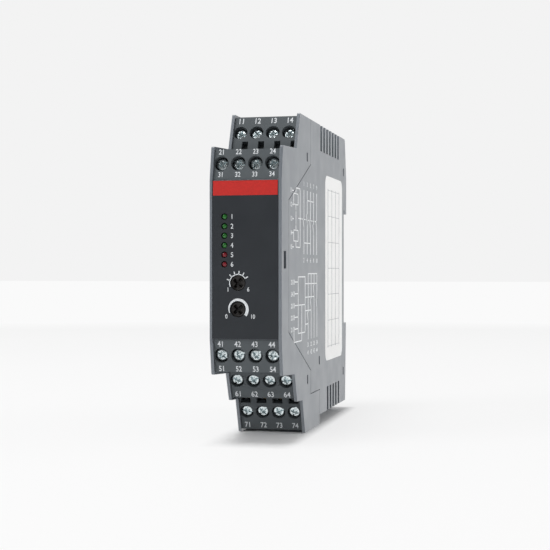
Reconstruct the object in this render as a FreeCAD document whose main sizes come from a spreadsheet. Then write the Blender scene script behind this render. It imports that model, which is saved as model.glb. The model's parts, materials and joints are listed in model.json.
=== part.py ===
import FreeCAD, Part
import math
import os
import Sketcher

# Safety relay in a narrow rail-mounted housing, millimetres, +Z up.
# Sketches use the maker's datum: y runs back from the front face, z up from the table.
# Every sub-part is then placed so that the frame's origin is the middle of the footprint.

SIZES = {
    # outside
    "width": 22.5,
    "depth": 114.5,
    "height": 103.4,
    "wall": 1.5,
    "cheek": 1.05,
    "front_wall": 2.0,
    "edge_round": 0.6,
    "seam_gap": 0.2,
    "fit_gap": 0.1,
    # terminal tiers, upper pair
    "label_drop": 23.0,
    "upper_front_height": 10.3,
    "upper_front_tilt": 10.6,
    "upper_front_row": 5.2,
    "upper_step": 21.8,
    "upper_rear_tilt": 23.4,
    "upper_rear_row": 6.1,
    "upper_rear_length": 19.2,
    # terminal tiers, lower three
    "label_bottom": 32.2,
    "lower_front_height": 10.9,
    "lower_front_tilt": 10.3,
    "lower_front_row": 5.1,
    "lower_step": 18.6,
    "lower_middle_height": 9.0,
    "lower_middle_tilt": 24.0,
    "lower_middle_row": 2.8,
    "lower_middle_length": 16.0,
    "lower_rear_step": 30.8,
    "lower_rear_tilt": 21.3,
    "lower_rear_row": 4.7,
    "lower_rear_length": 17.4,
    "ledge_slope": 2.7,
    "ear_reveal": 0.7,
    "ear_rise": 0.9,
    "block_tongue": 4.4,
    "block_heel": 5.8,
    "middle_heel": 8.1,
    "middle_notch": 3.6,
    # terminals; distances along a screw count from the top of its head
    "ways": 4,
    "row_margin": 0.375,
    "bore": 4.2,
    "upper_recess": 1.9,
    "lower_recess": 0.6,
    "head_size": 3.2,
    "head_height": 1.9,
    "thread": 2.5,
    "thread_gap": 0.05,
    "screw_length": 6.05,
    "slot_wide": 0.6,
    "slot_deep": 1.1,
    "cross_reach": 2.1,
    "chamber_front": 2.0,
    "chamber_length": 9.2,
    "chamber_wide": 4.0,
    "chamber_outer": 3.1,
    "chamber_inner": 4.5,
    "cage_wide": 3.75,
    "cage_tall": 4.4,
    "cage_front": 4.8,
    "cage_length": 5.9,
    "cage_sheet": 0.7,
    "cage_nut": 1.1,
    "bar_wide": 2.1,
    "bar_sheet": 0.8,
    "bar_outer": 2.4,
    "bar_tail": 1.0,
    "funnel_wide": 3.4,
    "funnel_long": 3.3,
    "funnel_depth": 8.4,
    "window_wide": 2.0,
    "window_tall": 2.9,
    "window_deep": 3.0,
    "window_shift": 1.9,
    "low_window_wide": 3.3,
    "low_window_tall": 1.4,
    "low_window_shift": 0.0,
    # seam between hood and housing
    "seam_front": 10.0,
    "seam_rear": 44.5,
    "seam_upper": 28.9,
    "seam_upper_rear": 15.2,
    "seam_lower": 34.2,
    "seam_lower_rear": 20.0,
    "seam_foot": 60.4,
    "seam_foot_rise": 12.1,
    # housing back and rail
    "floor_rise": 3.3,
    "rear_lean": 3.2,
    "rear_lean_drop": 15.2,
    "rear_round": 1.5,
    "recess_deep": 5.75,
    "heel_inset": 0.7,
    "heel_lean": 1.9,
    "recess_below": 25.4,
    "rail_centre": 58.45,
    "rail_height": 35.0,
    "rail_sheet": 1.0,
    "rail_gap": 0.3,
    "hook_lip": 1.25,
    "hook_root": 3.5,
    # vents, counted forwards from the rear one
    "vent_wide": 2.8,
    "top_vent_pitch": 5.57,
    "top_vent_count": 7,
    "top_vent_inset": 18.18,
    "top_vent_tall": 8.95,
    "low_vent_pitch": 5.5,
    "low_vent_count": 5,
    "low_vent_inset": 17.2,
    "low_vent_top": 11.8,
    # snap windows in the side walls
    "snap_wide": 1.6,
    "snap_tall": 2.9,
    "snap_deep": 2.5,
    "front_slot_back": 4.6,
    "front_slot_wide": 3.2,
    "front_slot_tall": 5.3,
    "upper_snap_inset": 5.9,
    "upper_snap_drop": 13.1,
    "lower_snap_inset": 5.2,
    "lower_snap_drop": 2.8,
    "seam_snap_inset": 0.9,
    "seam_snap_rise": 18.8,
    "rear_snap_inset": 6.3,
    "rear_snap_drop": 12.8,
    "heel_snap_inset": 6.9,
    "heel_snap_rise": 11.5,
    # rail foot
    "foot_half": 4.0,
    "foot_flange": 1.5,
    "foot_sheet": 1.2,
    "foot_back": 1.7,
    "foot_gap": 0.3,
    "foot_hold": 1.55,
    "foot_lift": 0.2,
    "foot_barb": 0.8,
    "foot_slot": 2.4,
    "foot_travel": 3.0,
    "lug_rise": 22.0,
    "lug_tall": 2.0,
    "lug_deep": 2.0,
    "lug_half": 2.7,
    "spring_seat": 12.0,
    "spring_strip": 0.6,
    "spring_folds": 7,
    # front panel
    "plate_sheet": 0.3,
    "plate_shift": -0.1,
    "plate_sink": 0.1,
    "lamp_size": 2.0,
    "lamp_count": 6,
    "lamp_inset": 3.6,
    "dial_size": 4.9,
    "dial_gap": 0.2,
    "dial_thick": 2.2,
    "dial_sink": 0.3,
    "dial_inset": 7.85,
    "drive_reach": 3.9,
    "dial_slot": 0.9,
    "dial_slot_deep": 0.9,
    "spindle": 2.4,
    "spindle_long": 4.0,
    "spindle_gap": 0.05,
    # inside
    "board_sheet": 1.6,
    "board_gap": 0.35,
    "board_margin": 1.6,
    "front_board_depth": 9.2,
    "switch_gap": 1.0,
    "chip_size": 7.0,
    "chip_tall": 1.2,
    "relay_wide": 12.6,
    "relay_long": 28.0,
    "relay_tall": 27.0,
    "relay_depth": 66.0,
    "relay_base": 3.0,
    "relay_inset": 0.4,
    "relay_head": 2.5,
    "relay_gap": 1.5,
    "core_long": 22.0,
    "core_tall": 18.0,
    "core_low": 9.0,
    "can_size": 10.0,
    "can_long": 12.5,
    "connector_half": 7.0,
    "connector_wide": 3.0,
    "connector_long": 10.0,
}


class Term:
    """A length or angle together with the cell expression that it comes from."""

    def __init__(self, value, text):
        self.value = value
        self.text = text

    def __add__(self, other):
        return Term(self.value + term(other).value, f"({self.text} + {term(other).text})")

    def __sub__(self, other):
        return Term(self.value - term(other).value, f"({self.text} - {term(other).text})")

    def __mul__(self, other):
        return Term(self.value * term(other).value, f"({self.text} * {term(other).text})")

    def __truediv__(self, other):
        return Term(self.value / term(other).value, f"({self.text} / {term(other).text})")

    def __neg__(self):
        return Term(-self.value, f"(-1 * {self.text})")


def term(number):
    return number if isinstance(number, Term) else Term(float(number), f"({number})")


def sine(angle):
    return Term(math.sin(math.radians(angle.value)), f"sin({angle.text})")


def cosine(angle):
    return Term(math.cos(math.radians(angle.value)), f"cos({angle.text})")


def tangent(angle):
    return Term(math.tan(math.radians(angle.value)), f"tan({angle.text})")


doc = FreeCAD.newDocument("SafetyRelay")


def fill_sheet():
    """Put every driving size in the sheet, one alias a row."""
    sheet = doc.addObject("Spreadsheet::Sheet", "Sizes")
    for row, (name, value) in enumerate(SIZES.items(), 1):
        sheet.set(f"A{row}", name)
        sheet.set(f"B{row}", str(value))
        sheet.setAlias(f"B{row}", name)
    doc.recompute()
    return {name: Term(float(value), f"Sizes.{name}") for name, value in SIZES.items()}


size = fill_sheet()
ZERO = term(0)
OUT = size["width"]  # how far a cutting outline runs past the part
X_AXIS = FreeCAD.Vector(1, 0, 0)
Z_AXIS = FreeCAD.Vector(0, 0, 1)


# ---------------------------------------------------------------- drawing helpers

def new_body(label, at=None, tilt=None):
    """A PartDesign body, placed at (x, y, z) of the maker's datum and leant back by tilt."""
    body = doc.addObject("PartDesign::Body", label)
    body.Label = label
    x, y, z = at if at else (ZERO, ZERO, ZERO)
    body.setExpression(".Placement.Base.x", term(x).text)
    body.setExpression(".Placement.Base.y", (term(y) - size["depth"] / 2).text)
    body.setExpression(".Placement.Base.z", term(z).text)
    if tilt:
        body.Placement = FreeCAD.Placement(FreeCAD.Vector(), FreeCAD.Rotation(X_AXIS, tilt.value))
        body.setExpression(".Placement.Rotation.Angle", f"{tilt.text} * 1 deg")
    return body


def sketch_on(body, plane, offset=(0, 0, 0), turn=None, about=X_AXIS):
    """A sketch on one of the body's own planes, moved by offset and turned by an angle."""
    sketch = body.newObject("Sketcher::SketchObject", f"{body.Label}_sketch")
    role = {feature.Role: feature for feature in body.Origin.OriginFeatures}[plane]
    sketch.AttachmentSupport = [(role, "")]
    sketch.MapMode = "FlatFace"
    if turn:
        rotation = FreeCAD.Rotation(about, turn.value)
        sketch.AttachmentOffset = FreeCAD.Placement(FreeCAD.Vector(), rotation)
        sketch.setExpression(".AttachmentOffset.Rotation.Angle", f"{turn.text} * 1 deg")
    for axis, distance in zip("xyz", offset):
        sketch.setExpression(f".AttachmentOffset.Base.{axis}", term(distance).text)
    return sketch


def side_sketch(body):
    """Sketch of the side view: y across, z up."""
    return sketch_on(body, "YZ_Plane")


def hold(sketch, kind, places, length):
    """One dimension of a sketch, bound to the sheet."""
    number = sketch.addConstraint(Sketcher.Constraint(kind, *places, length.value))
    sketch.setExpression(f"Constraints[{number}]", length.text)


def pin_point(sketch, geometry, vertex, point):
    hold(sketch, "DistanceX", (-1, 1, geometry, vertex), term(point[0]))
    hold(sketch, "DistanceY", (-1, 1, geometry, vertex), term(point[1]))


def outline(sketch, points):
    """A closed outline with straight sides through the given points."""
    ends = [FreeCAD.Vector(term(u).value, term(v).value, 0) for u, v in points]
    first = sketch.GeometryCount
    count = len(points)
    for index in range(count):
        line = Part.LineSegment(ends[index], ends[(index + 1) % count])
        sketch.addGeometry(line, False)
    for index in range(count):
        following = first + (index + 1) % count
        sketch.addConstraint(Sketcher.Constraint("Coincident", first + index, 2, following, 1))
    for index, point in enumerate(points):
        pin_point(sketch, first + index, 1, point)


def rectangle(sketch, low, high):
    outline(sketch, [low, (high[0], low[1]), high, (low[0], high[1])])


def circle(sketch, centre, diameter):
    place = FreeCAD.Vector(term(centre[0]).value, term(centre[1]).value, 0)
    number = sketch.addGeometry(Part.Circle(place, Z_AXIS, diameter.value / 2), False)
    pin_point(sketch, number, 3, centre)
    hold(sketch, "Diameter", (number,), diameter)


def plus_sign(sketch, reach, across, width):
    """A plus-shaped outline: reach along u, across along v, both arms width wide."""
    a, b, c = reach / 2, across / 2, width / 2
    outline(sketch, [(a, -c), (a, c), (c, c), (c, b), (-c, b), (-c, c),
                     (-a, c), (-a, -c), (-c, -c), (-c, -b), (c, -b), (c, -c)])


ROUND_SIDES = 16  # for small round things that repeat
CORE_SIDES = 8  # for what the blocks hide


def polygon(sketch, sides, corners, centre=(0, 0)):
    """A regular outline round a centre, corners wide over opposite corners."""
    radius = corners / 2
    angles = [math.pi * (2 * index + 1) / sides for index in range(sides)]
    outline(sketch, [(radius * math.cos(angle) + centre[0], radius * math.sin(angle) + centre[1])
                     for angle in angles])


def feature(body, kind, sketch, length, both_ways=False, backwards=False):
    """Pad or Pocket of a sketch; both_ways spreads the length to each side of its plane."""
    result = body.newObject(f"PartDesign::{kind}", f"{body.Label}_{kind.lower()}")
    result.Profile = sketch
    result.setExpression("Length", term(length).text)
    if both_ways:
        result.SideType = "Symmetric"
    result.Reversed = backwards
    sketch.Visibility = False
    return result


def pad(body, sketch, length, both_ways=False, backwards=False):
    return feature(body, "Pad", sketch, length, both_ways, backwards)


def pocket(body, sketch, length, both_ways=False, backwards=False):
    return feature(body, "Pocket", sketch, length, both_ways, backwards)


def revolve(body, sketch):
    result = body.newObject("PartDesign::Revolution", f"{body.Label}_turned")
    result.Profile = sketch
    result.ReferenceAxis = (sketch, ["V_Axis"])
    result.Angle = 360
    return result


def repeat(body, originals, direction, spacing, count):
    """A linear pattern of features along a sketch axis."""
    result = body.newObject("PartDesign::LinearPattern", f"{body.Label}_row")
    result.Originals = originals
    result.Direction = direction
    result.Mode = "Spacing"
    result.setExpression("Offset", spacing.text)
    result.setExpression("Occurrences", count.text)
    body.Tip = result
    return result


def edge_names(shape, test):
    return [f"Edge{number}" for number, edge in enumerate(shape.Edges, 1) if test(edge)]


def round_edges(body, test, radius):
    """Fillet the edges of the body's last feature that pass the test."""
    doc.recompute()
    base = body.Tip
    names = edge_names(base.Shape, test)
    result = body.newObject("PartDesign::Fillet", f"{body.Label}_fillet")
    result.Base = (base, names)
    result.setExpression("Radius", radius.text)
    return result


def lies_across(edge):
    """True for a straight edge that runs across the part's width."""
    if len(edge.Vertexes) != 2:
        return False
    run = edge.Vertexes[1].Point - edge.Vertexes[0].Point
    return abs(run.y) + abs(run.z) < abs(run.x) / 1000


# ---------------------------------------------------------------- terminal tiers

class Tier:
    """One sloping terminal face of the hood: where it starts, how it leans, its screw row."""

    def __init__(self, name, side, start, end_z, row):
        self.name = name
        self.side = side  # +1 above the label, -1 below it
        self.tilt = size[f"{name}_tilt"]
        self.recess = size["upper_recess"] if side > 0 else size["lower_recess"]
        self.start = start
        rise = (end_z - start[1]) * side
        self.end = (start[0] + rise * tangent(self.tilt), end_z)
        along = size[f"{name}_row"]
        self.row = (
            start[0] + size["ear_reveal"] + along * sine(self.tilt),
            start[1] + along * cosine(self.tilt) * side,
        )

    def face(self, z):
        """Depth of the block's face, which lies behind the ears, at a height."""
        lean = (z - self.start[1]) * self.side * tangent(self.tilt)
        return self.start[0] + size["ear_reveal"] + lean

    def turn(self):
        """Angle that turns the tier's own frame about X."""
        return -self.tilt if self.side > 0 else self.tilt

    def inward(self, distance):
        """The point of the side view at a distance behind the screw row's face point."""
        drop = sine(self.tilt) * distance * -self.side
        return (self.row[0] + cosine(self.tilt) * distance, self.row[1] + drop)


def next_tier_start(tier, step):
    """Where a ledge that falls away from the label meets the next tier back."""
    return (step, tier.end[1] + (step - tier.end[0]) * tangent(size["ledge_slope"]) * tier.side)


label_top = size["height"] - size["label_drop"]
label_bottom = size["label_bottom"]

upper_front = Tier("upper_front", 1, (ZERO, label_top),
                   label_top + size["upper_front_height"], "upper_front_row")
upper_rear = Tier("upper_rear", 1, next_tier_start(upper_front, size["upper_step"]),
                  size["height"], "upper_rear_row")
lower_front = Tier("lower_front", -1, (ZERO, label_bottom),
                   label_bottom - size["lower_front_height"], "lower_front_row")
middle_start = next_tier_start(lower_front, size["lower_step"])
lower_middle = Tier("lower_middle", -1, middle_start,
                    middle_start[1] - size["lower_middle_height"], "lower_middle_row")
lower_rear = Tier("lower_rear", -1, next_tier_start(lower_middle, size["lower_rear_step"]),
                  ZERO, "lower_rear_row")
TIERS = [upper_rear, upper_front, lower_front, lower_middle, lower_rear]


def block_outlines():
    """Side outline and rear depth of each terminal block, in the order of TIERS."""
    gap, rise = size["fit_gap"], size["ear_rise"]
    slope = tangent(size["ledge_slope"])
    behind_panel = size["front_wall"] + gap

    def ledge(tier, back):
        low = tier.end[1] - rise * tier.side
        front = (tier.face(low), low)
        return front, (back, low + (back - front[0]) * slope * tier.side)

    shapes = {}
    back = upper_rear.face(upper_rear.start[1] - rise) - gap
    front, rear = ledge(upper_front, back)
    start, tongue = label_top + gap, label_top - size["block_tongue"]
    shapes[upper_front] = [(upper_front.face(start), start), front, rear, (back, tongue),
                           (behind_panel, tongue), (behind_panel, start)], back

    foot = upper_rear.start[1] - rise + gap
    top = size["height"] - rise
    back = upper_rear.start[0] + size["upper_rear_length"]
    heel = foot - size["block_heel"]
    shapes[upper_rear] = [(upper_rear.face(foot), foot), (upper_rear.face(top), top),
                          (back, top), (back, heel), (upper_rear.face(foot), heel)], back

    back = lower_middle.face(lower_middle.start[1] + rise) - gap
    front, rear = ledge(lower_front, back)
    start, tongue = label_bottom - gap, label_bottom + size["block_tongue"]
    shapes[lower_front] = [(lower_front.face(start), start), front, rear, (back, tongue),
                           (behind_panel, tongue), (behind_panel, start)], back

    head = lower_middle.start[1] + rise - gap
    step = lower_rear.face(lower_rear.start[1] + rise) - gap
    front, rear = ledge(lower_middle, step)
    notch = rear[1] + size["middle_notch"]
    back = lower_middle.start[0] + size["lower_middle_length"]
    heel = head + size["middle_heel"]
    shapes[lower_middle] = [(lower_middle.face(head), head), front, rear, (step, notch),
                            (back, notch), (back, heel), (lower_middle.face(head), heel)], back

    head = lower_rear.start[1] + rise - gap
    under, beyond = notch - gap, back + gap * 2
    back = lower_rear.start[0] + size["lower_rear_length"]
    top = under + size["cage_tall"] / 2
    shapes[lower_rear] = [(lower_rear.face(head), head), (lower_rear.face(rise), rise),
                          (back, rise), (back, top), (beyond, top), (beyond, under),
                          (lower_rear.face(head), under)], back
    return shapes


BLOCKS = block_outlines()

inner_half = size["width"] / 2 - size["cheek"]
pitch = (inner_half * 2 - size["cage_wide"] - size["row_margin"] * 2) / (size["ways"] - 1)
first_column = pitch * (size["ways"] - 1) / -2

# Dark windows between a tier's screws and the ledge before it: sideways shift, width, reach.
WINDOWS = {
    upper_rear: ("window_shift", "window_wide", "window_tall"),
    lower_rear: ("low_window_shift", "low_window_wide", "low_window_tall"),
}


def tier_sketch(body, tier, distance):
    """A sketch square to the tier's screws, at a distance behind the block's face."""
    y, z = tier.inward(distance)
    return sketch_on(body, "XZ_Plane", (0, z, -y), tier.turn())


def terminal_block(tier):
    """Moulded block: screw bores, cage chambers, bar slots and wire funnels for each way."""
    points, back = BLOCKS[tier]
    body = new_body(f"terminal_block_{tier.name}")
    side = side_sketch(body)
    outline(side, points)
    pad(body, side, (inner_half - size["fit_gap"]) * 2, both_ways=True)

    first = first_column
    lead, front = size["chamber_length"], tier.recess + size["chamber_front"]
    bore = tier_sketch(body, tier, -lead)
    circle(bore, (first, ZERO), size["bore"])
    bores = pocket(body, bore, lead + front + size["cage_sheet"])

    chamber = tier_sketch(body, tier, front)
    half = size["chamber_wide"] / 2
    inner, outer = size["chamber_inner"] * -tier.side, size["chamber_outer"] * tier.side
    rectangle(chamber, (first - half, inner), (first + half, outer))
    chambers = pocket(body, chamber, size["chamber_length"])

    slot = tier_sketch(body, tier, front)
    half = size["bar_wide"] / 2 + size["fit_gap"]
    deep = size["bar_sheet"] + size["fit_gap"] * 2
    rectangle(slot, (first - half, inner), (first + half, inner + deep * tier.side))
    slots = pocket(body, slot, size["depth"])

    funnel_y, funnel_z = tier.inward(tier.recess + size["funnel_depth"])
    funnel = sketch_on(body, "XY_Plane", (0, 0, funnel_z))
    half = size["funnel_wide"] / 2
    reach = size["funnel_long"] / 2
    rectangle(funnel, (first - half, funnel_y - reach), (first + half, funnel_y + reach))
    funnels = pocket(body, funnel, size["height"], backwards=tier.side > 0)

    cuts = [bores, chambers, slots, funnels]
    if tier in WINDOWS:
        shift, wide, tall = (size[name] for name in WINDOWS[tier])
        window = tier_sketch(body, tier, -size["ear_rise"])
        left = first + shift - wide / 2
        start = -size[f"{tier.name}_row"] * tier.side
        rectangle(window, (left, start - size["ear_rise"] * 2 * tier.side),
                  (left + wide, start + tall * tier.side))
        cuts.append(pocket(body, window, size["window_deep"] + size["ear_rise"]))
    repeat(body, cuts, (bore, ["H_Axis"]), pitch, size["ways"])
    return body


def along_tier(tier, column):
    """Placement of a piece that belongs to one terminal: column 0 is at -X."""
    return (first_column + pitch * column, tier.row[0], tier.row[1])


def clamp_screw(tier, column, turn):
    """Captive clamp screw: slotted and crossed head, thread drawn as a plain eight-sided core."""
    label = f"screw_{tier.name}_{column + 1}"
    body = new_body(label, along_tier(tier, column), tier.turn())
    top, seat = tier.recess, tier.recess + size["head_height"]
    head = sketch_on(body, "XZ_Plane", (0, 0, -top))
    polygon(head, ROUND_SIDES, size["head_size"])
    pad(body, head, size["head_height"], backwards=True)
    shank = sketch_on(body, "XZ_Plane", (0, 0, -seat))
    polygon(shank, CORE_SIDES, size["thread"])
    pad(body, shank, size["screw_length"] - size["head_height"], backwards=True)
    drive = sketch_on(body, "XZ_Plane", (0, 0, -top), term(turn), Z_AXIS)
    plus_sign(drive, size["head_size"] * 2, size["cross_reach"], size["slot_wide"])
    pocket(body, drive, size["slot_deep"])
    return body


def clamp_cages(tier):
    """The row's rising cages: a folded square ring, its front wall tapped for the screw."""
    body = new_body(f"clamp_cages_{tier.name}", along_tier(tier, 0), tier.turn())
    body.AllowCompound = True
    front = tier.recess + size["cage_front"]
    back = front + size["cage_length"]
    half, sheet = size["cage_wide"] / 2, size["cage_sheet"]
    ring = sketch_on(body, "XY_Plane")
    rectangle(ring, (-half, front), (half, back))
    rectangle(ring, (sheet - half, front + size["cage_nut"]), (half - sheet, back - sheet))
    first = pad(body, ring, size["cage_tall"], both_ways=True)
    tapping = sketch_on(body, "XZ_Plane", (0, 0, -front))
    flats = size["thread"] + size["thread_gap"] * 2
    polygon(tapping, CORE_SIDES, flats / math.cos(math.pi / CORE_SIDES))
    hole = pocket(body, tapping, size["cage_nut"] + size["cage_sheet"])
    repeat(body, [first, hole], (ring, ["H_Axis"]), pitch, size["ways"])
    return body


def contact_bars(tier):
    """The row's contact bars: each lies in its cage, then turns back through the block."""
    body = new_body(f"contact_bars_{tier.name}", along_tier(tier, 0), tier.turn())
    body.AllowCompound = True
    sheet = size["bar_sheet"]
    front = tier.recess + size["screw_length"] + size["thread_gap"]
    inner = size["fit_gap"] - size["chamber_inner"]
    tail = (BLOCKS[tier][1] - tier.row[0]) / cosine(tier.tilt) + size["bar_tail"]
    path = sketch_on(body, "YZ_Plane")
    corners = [(front, size["bar_outer"]), (front + sheet, size["bar_outer"]),
               (front + sheet, inner + sheet), (tail, inner + sheet), (tail, inner), (front, inner)]
    outline(path, [(y, z * tier.side) for y, z in corners])
    bar = pad(body, path, size["bar_wide"], both_ways=True)
    rowline = sketch_on(body, "XY_Plane")
    repeat(body, [bar], (rowline, ["H_Axis"]), pitch, size["ways"])
    return body


# ---------------------------------------------------------------- shells

def seam_points(gap):
    """The seam from the roof to the underside; gap moves it off towards the front."""
    height = size["height"]
    front, rear = size["seam_front"] - gap, size["seam_rear"] - gap
    return [
        (rear, height - size["seam_upper_rear"] + gap),
        (front, height - size["seam_upper"] + gap),
        (front, size["seam_lower"] - gap),
        (rear, size["seam_lower_rear"] - gap),
        (rear, size["seam_foot_rise"] - gap),
        (size["seam_foot"] - gap, size["seam_foot_rise"] - gap),
    ]


def upright(sketch, y, z, wide, tall):
    """A rectangle about a point of the side view."""
    rectangle(sketch, (y - wide / 2, z - tall / 2), (y + wide / 2, z + tall / 2))


def snap_window(body, y, z, wide=size["snap_wide"], tall=size["snap_tall"]):
    """A small upright window through both side walls, where the shells snap together."""
    window = side_sketch(body)
    upright(window, y, z, wide, tall)
    pocket(body, window, size["width"] + OUT, both_ways=True)


def snap_recess(body, y, z):
    """A blind snap window in each side, where the moulding is solid behind it."""
    deep = size["snap_deep"]
    for side in (1, -1):
        recess = sketch_on(body, "YZ_Plane", (0, 0, (size["width"] / 2 - deep) * side))
        upright(recess, y, z, size["snap_wide"], size["snap_tall"])
        pocket(body, recess, deep + size["cheek"], backwards=side > 0)


def front_hood():
    """Front shell: two side cheeks whose edges stand as ears round the terminal tiers."""
    body = new_body("front_hood")
    height, wall, gap = size["height"], size["wall"], size["fit_gap"]
    cheek = size["cheek"]
    side = side_sketch(body)
    seam = seam_points(size["seam_gap"])
    outline(side, [
        upper_front.start, upper_front.end, upper_rear.start, upper_rear.end,
        (seam[0][0], height), *seam, (seam[-1][0], ZERO),
        lower_rear.end, lower_rear.start, lower_middle.end, lower_middle.start,
        lower_front.end, lower_front.start,
    ])
    pad(body, side, size["width"], both_ways=True)
    corners = [tier.end for tier in TIERS]

    def at_ear(edge):
        middle = edge.CenterOfMass
        return lies_across(edge) and any(
            abs(middle.y - y.value) + abs(middle.z - z.value) < wall.value for y, z in corners)

    round_edges(body, at_ear, size["edge_round"])

    hollow = side_sketch(body)
    far = size["seam_foot"] + OUT
    outline(hollow, [
        (size["front_wall"], label_bottom), (size["front_wall"], label_top),
        (-OUT, label_top), (-OUT, height + OUT), (far, height + OUT), (far, -OUT),
        (-OUT, -OUT), (-OUT, label_bottom),
    ])
    pocket(body, hollow, inner_half * 2, both_ways=True)

    roof = side_sketch(body)
    rectangle(roof, (BLOCKS[upper_rear][1] + gap, height - wall), (seam[0][0], height))
    pad(body, roof, size["width"] - cheek, both_ways=True)
    floor = side_sketch(body)
    rectangle(floor, (BLOCKS[lower_rear][1] + gap, ZERO), (seam[-1][0], wall))
    pad(body, floor, size["width"] - cheek, both_ways=True)

    seat = sketch_on(body, "XZ_Plane")
    middle = size["plate_shift"]
    half = inner_half + gap
    rectangle(seat, (middle - half, label_bottom - OUT), (middle + half, label_top + OUT))
    pocket(body, seat, size["plate_sheet"] + size["plate_sink"])
    windows = sketch_on(body, "XZ_Plane")
    lamp, dial = size["lamp_size"] / 2 + gap * 2, size["dial_size"] / 2 + size["dial_gap"] + gap
    last = lamp_height(SIZES["lamp_count"] - 1)
    rectangle(windows, (lamp_across - lamp, last - lamp),
              (lamp_across + lamp, lamp_height(0) + lamp))
    (across, mode), (_, delay) = dial_places()
    rectangle(windows, (across - dial, delay - dial), (across + dial, mode + dial))
    pocket(body, windows, size["front_wall"] + wall)
    snap_window(body, size["seam_rear"] - size["upper_snap_inset"],
                height - size["upper_snap_drop"])
    snap_window(body, size["seam_rear"] - size["lower_snap_inset"],
                size["seam_lower_rear"] - size["lower_snap_drop"])
    snap_window(body, size["front_slot_back"], (label_top + label_bottom) / 2,
                size["front_slot_wide"], size["front_slot_tall"])
    return body


# Layout of the label as shares of its height, from its upper edge down.
FIRST_LAMP = 0.2303
LAMP_PITCH = 0.05975
MODE_DIAL = 0.6463
DELAY_DIAL = 0.8122

lamp_across = size["lamp_inset"] - inner_half
dial_across = size["dial_inset"] - inner_half
lamp_pitch = (label_top - label_bottom) * LAMP_PITCH
dial_pitch = (label_top - label_bottom) * (DELAY_DIAL - MODE_DIAL)


def down_label(share):
    return label_top - (label_top - label_bottom) * share


def lamp_height(index):
    return down_label(FIRST_LAMP) - lamp_pitch * index


def dial_places():
    return [(dial_across, down_label(MODE_DIAL)),
            (dial_across, down_label(DELAY_DIAL))]


def front_plate():
    """Thin dark inlay with holes for the six lamps and the two adjusters."""
    body = new_body("front_plate")
    face = sketch_on(body, "XZ_Plane", (0, 0, -size["plate_sink"]))
    middle, half = size["plate_shift"], inner_half
    rectangle(face, (middle - half, label_bottom + size["fit_gap"]),
              (middle + half, label_top - size["fit_gap"]))
    pad(body, face, size["plate_sheet"], backwards=True)
    holes = sketch_on(body, "XZ_Plane")
    for index in range(SIZES["lamp_count"]):
        polygon(holes, ROUND_SIDES, size["lamp_size"], (lamp_across, lamp_height(index)))
    for place in dial_places():
        circle(holes, place, size["dial_size"] + size["dial_gap"] * 2)
    pocket(body, holes, size["front_wall"])
    return body


def rear_housing():
    """Rear shell: tub with vents, rail recess, fixed hook and the foot's guide."""
    body = new_body("rear_housing")
    height, depth, wall = size["height"], size["depth"], size["wall"]
    recess = depth - size["recess_deep"]
    rail_top = size["rail_centre"] + size["rail_height"] / 2
    hook_inside = recess + size["rail_sheet"] + size["rail_gap"]
    hook_tip = rail_top - size["hook_lip"]
    recess_floor = size["rail_centre"] - size["recess_below"]
    above_hook = rail_top + size["hook_root"]
    heel = depth - size["heel_inset"]
    seam = seam_points(ZERO)
    side = side_sketch(body)
    outline(side, [
        (size["seam_rear"], height), (depth - size["rear_lean"], height),
        (depth, height - size["rear_lean_drop"]), (depth, hook_tip), (hook_inside, hook_tip),
        (hook_inside, rail_top + size["rail_gap"]), (recess, rail_top + size["rail_gap"]),
        (recess, recess_floor), (heel, recess_floor), (heel - size["heel_lean"], size["floor_rise"]),
        (size["seam_foot"], size["floor_rise"]), *reversed(seam),
    ])
    pad(body, side, size["width"], both_ways=True)

    def rear_corner(edge):
        middle = edge.CenterOfMass
        return lies_across(edge) and middle.y > recess.value and middle.z > above_hook.value

    round_edges(body, rear_corner, size["rear_round"])

    cavity = side_sketch(body)
    back = recess - wall
    outline(cavity, [
        (ZERO, size["floor_rise"] + wall), (back, size["floor_rise"] + wall), (back, above_hook),
        (depth - wall, above_hook), (depth - wall, height - size["rear_lean_drop"]),
        (depth - size["rear_lean"] - wall, height - wall), (ZERO, height - wall),
    ])
    pocket(body, cavity, inner_half * 2, both_ways=True)

    half = size["vent_wide"] / 2
    for name, low, high in (("top_vent", height - size["top_vent_tall"], height + OUT),
                            ("low_vent", -OUT, size["low_vent_top"])):
        count, spacing = size[f"{name}_count"], size[f"{name}_pitch"]
        front = depth - size[f"{name}_inset"] - spacing * (count - 1)
        vent = side_sketch(body)
        rectangle(vent, (front - half, low), (front + half, high))
        cut = pocket(body, vent, size["width"] + OUT, both_ways=True)
        repeat(body, [cut], (vent, ["H_Axis"]), spacing, count)

    guide = foot_front() - size["foot_gap"]
    shoulder = foot_front() + size["foot_sheet"] + size["foot_gap"]
    stem = size["foot_half"] + size["foot_gap"]
    flange = stem + size["foot_flange"]
    channel = sketch_on(body, "XY_Plane")
    outline(channel, [(-flange, guide), (flange, guide), (flange, shoulder), (stem, shoulder),
                      (stem, depth + OUT), (-stem, depth + OUT), (-stem, shoulder),
                      (-flange, shoulder)])
    pocket(body, channel, recess_floor + wall, backwards=True)
    nest = sketch_on(body, "XY_Plane", (0, 0, size["spring_seat"]))
    half = size["lug_half"] + size["foot_gap"]
    rectangle(nest, (-half, foot_front() - size["lug_deep"] - size["foot_gap"]),
              (half, foot_front()))
    pocket(body, nest, recess_floor, backwards=True)
    snap_window(body, size["seam_foot"] - size["seam_snap_inset"],
                size["floor_rise"] + size["seam_snap_rise"])
    snap_window(body, depth - size["rear_snap_inset"], height - size["rear_snap_drop"])
    snap_recess(body, depth - size["heel_snap_inset"],
                size["floor_rise"] + size["heel_snap_rise"])
    return body


def foot_front():
    return size["depth"] - size["recess_deep"] + size["rail_sheet"] + size["rail_gap"] * 1.5


# ---------------------------------------------------------------- rail foot

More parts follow.
